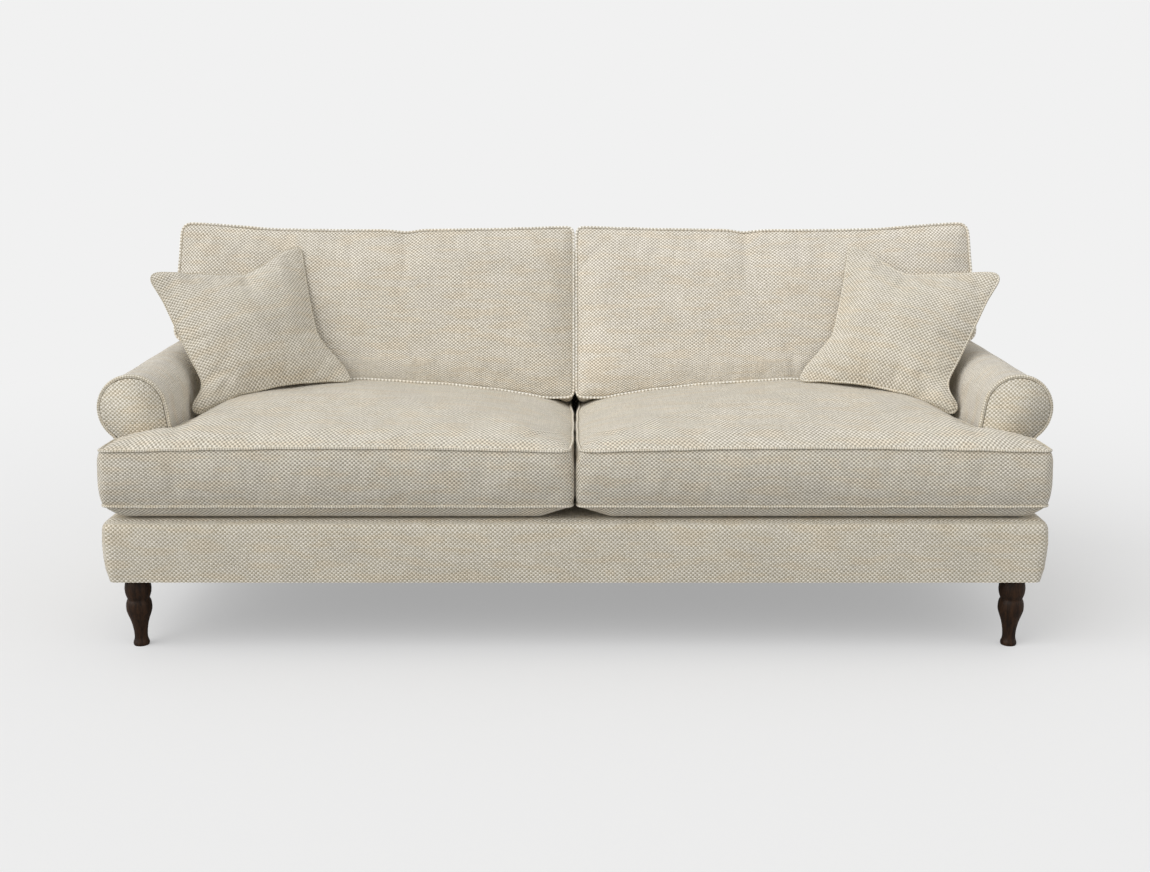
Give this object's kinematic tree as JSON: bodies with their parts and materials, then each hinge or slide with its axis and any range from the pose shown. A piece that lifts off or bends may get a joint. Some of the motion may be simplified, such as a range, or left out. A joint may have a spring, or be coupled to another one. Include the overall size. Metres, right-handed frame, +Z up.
{
  "type": "english roll arm sofa",
  "caption": "Low-armed sofa with rolled arms, loose seat cushions, back cushions and scatter cushions, a plain upholstered base and turned front legs.",
  "frame": {"origin": "middle of the bounding box's footprint, at floor level", "axes": "+X across the sofa to the right of someone looking at its front, -Y towards the front edge of the seat, +Z up"},
  "size_m": [2.2832, 0.9914, 0.941],
  "materials": {
    "beech": "sawn, bare",
    "plywood": "sanded, bare",
    "webbing": "woven jute strap",
    "fabric": "coarse two-tone cream and beige basket weave",
    "lining": "black and dark brown platform cloth, zip tape",
    "walnut": "dark stain, satin",
    "steel": "zinc plated",
    "foam": "open-cell upholstery foam",
    "fibre": "white polyester fibre"
  },
  "bodies": {
    "frame": {"front_rail": "beech", "centre_rail": "beech", "back_rail": "beech", "centre_back_post": "beech", "lower_back_rail": "beech", "back_top_rail": "beech", "side_rail_right": "beech", "side_rail_left": "beech", "front_corner_block_right": "beech", "front_corner_block_left": "beech", "rear_corner_block_right": "beech", "rear_corner_block_left": "beech", "back_post_right": "beech", "back_post_left": "beech", "arm_stump_right": "beech", "arm_stump_left": "beech", "arm_top_rail_right": "beech", "arm_top_rail_left": "beech", "arm_inner_board_right": "plywood", "arm_inner_board_left": "plywood", "seat_webbing": "webbing", "back_webbing": "webbing", "front_border": "fabric", "inside_back": "fabric", "outside_back": "fabric", "arm_pad_right": "fabric", "arm_pad_left": "fabric", "arm_facing_right": "fabric", "arm_facing_left": "fabric", "arm_piping_right": "fabric", "arm_piping_left": "fabric", "outside_arm_right": "fabric", "outside_arm_left": "fabric", "seat_deck": "lining", "dust_cover": "lining", "front_leg_right": "walnut", "front_leg_left": "walnut", "rear_leg_right": "walnut", "rear_leg_left": "walnut", "front_leg_bolt_right": "steel", "front_leg_bolt_left": "steel", "rear_leg_bolt_right": "steel", "rear_leg_bolt_left": "steel"},
    "seat_cushion_right": {"seat_cushion_cover_right": "fabric", "seat_cushion_core_right": "foam", "seat_cushion_zip_right": "lining"},
    "back_cushion_right": {"back_cushion_cover_right": "fabric", "back_cushion_fill_right": "fibre", "back_cushion_zip_right": "lining"},
    "scatter_cushion_right": {"scatter_cushion_cover_right": "fabric", "scatter_cushion_pad_right": "fibre"},
    "seat_cushion_left": {"seat_cushion_cover_left": "fabric", "seat_cushion_core_left": "foam", "seat_cushion_zip_left": "lining"},
    "back_cushion_left": {"back_cushion_cover_left": "fabric", "back_cushion_fill_left": "fibre", "back_cushion_zip_left": "lining"},
    "scatter_cushion_left": {"scatter_cushion_cover_left": "fabric", "scatter_cushion_pad_left": "fibre"}
  },
  "joints": [
    {"name": "seat_cushion_right_lift", "type": "slide", "parent": "frame", "child": "seat_cushion_right", "axis": [0, 0, 1], "range_m": [0, 0.3]},
    {"name": "back_cushion_right_lift", "type": "slide", "parent": "seat_cushion_right", "child": "back_cushion_right", "axis": [0, 0, 1], "range_m": [0, 0.35]},
    {"name": "scatter_cushion_right_lift", "type": "slide", "parent": "back_cushion_right", "child": "scatter_cushion_right", "axis": [0, 0, 1], "range_m": [0, 0.25]},
    {"name": "seat_cushion_left_lift", "type": "slide", "parent": "frame", "child": "seat_cushion_left", "axis": [0, 0, 1], "range_m": [0, 0.3]},
    {"name": "back_cushion_left_lift", "type": "slide", "parent": "seat_cushion_left", "child": "back_cushion_left", "axis": [0, 0, 1], "range_m": [0, 0.35]},
    {"name": "scatter_cushion_left_lift", "type": "slide", "parent": "back_cushion_left", "child": "scatter_cushion_left", "axis": [0, 0, 1], "range_m": [0, 0.25]}
  ]
}
